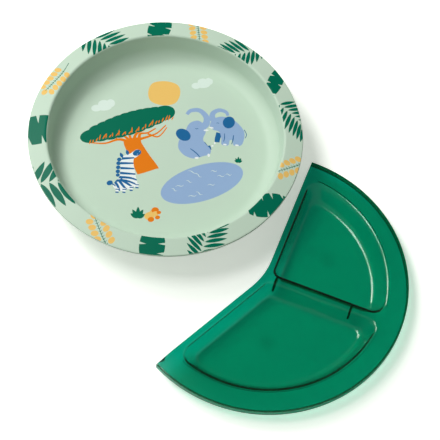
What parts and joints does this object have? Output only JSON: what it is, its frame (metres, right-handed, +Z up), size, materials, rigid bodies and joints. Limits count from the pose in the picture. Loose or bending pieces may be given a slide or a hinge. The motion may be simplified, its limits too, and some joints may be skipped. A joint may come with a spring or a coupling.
{
  "type": "suction bowl",
  "caption": "Shallow round toddler bowl with a printed rim and floor, a suction cup and pull tab under it, and a clear green divider insert with deep wells lying beside it.",
  "frame": {"origin": "on the table, at the centre of the floor area that the bowl and the divider cover together", "axes": "+Z up; the divider lies from the bowl towards +X and -Y; the pull tab points to the bowl's back left, towards -X and +Y"},
  "size_m": [0.3117, 0.3296, 0.0378],
  "materials": {
    "bowl": "satin moulded polypropylene, pale sage",
    "label": null,
    "cup": "soft silicone, sage",
    "tab": "soft silicone, sage",
    "divider": "clear green plastic, glossy"
  },
  "bodies": {
    "bowl": {"bowl_shell": "bowl", "rim_label": "label", "floor_label": "label", "suction_cup": "cup"},
    "release_tab": {"release_tab": "tab"},
    "divider": {"divider_tray": "divider"}
  },
  "joints": [
    {"name": "tab_peel", "type": "hinge", "parent": "bowl", "child": "release_tab", "pos_m": [-0.08482, 0.10473, 0.0013], "axis": [0.788, 0.6157, 0], "range_deg": [0, 18], "stiffness_Nm_per_rad": 0.02},
    {"name": "divider_lift", "type": "slide", "parent": "bowl", "child": "divider", "axis": [0, 0, 1], "range_m": [0, 0.06]}
  ]
}
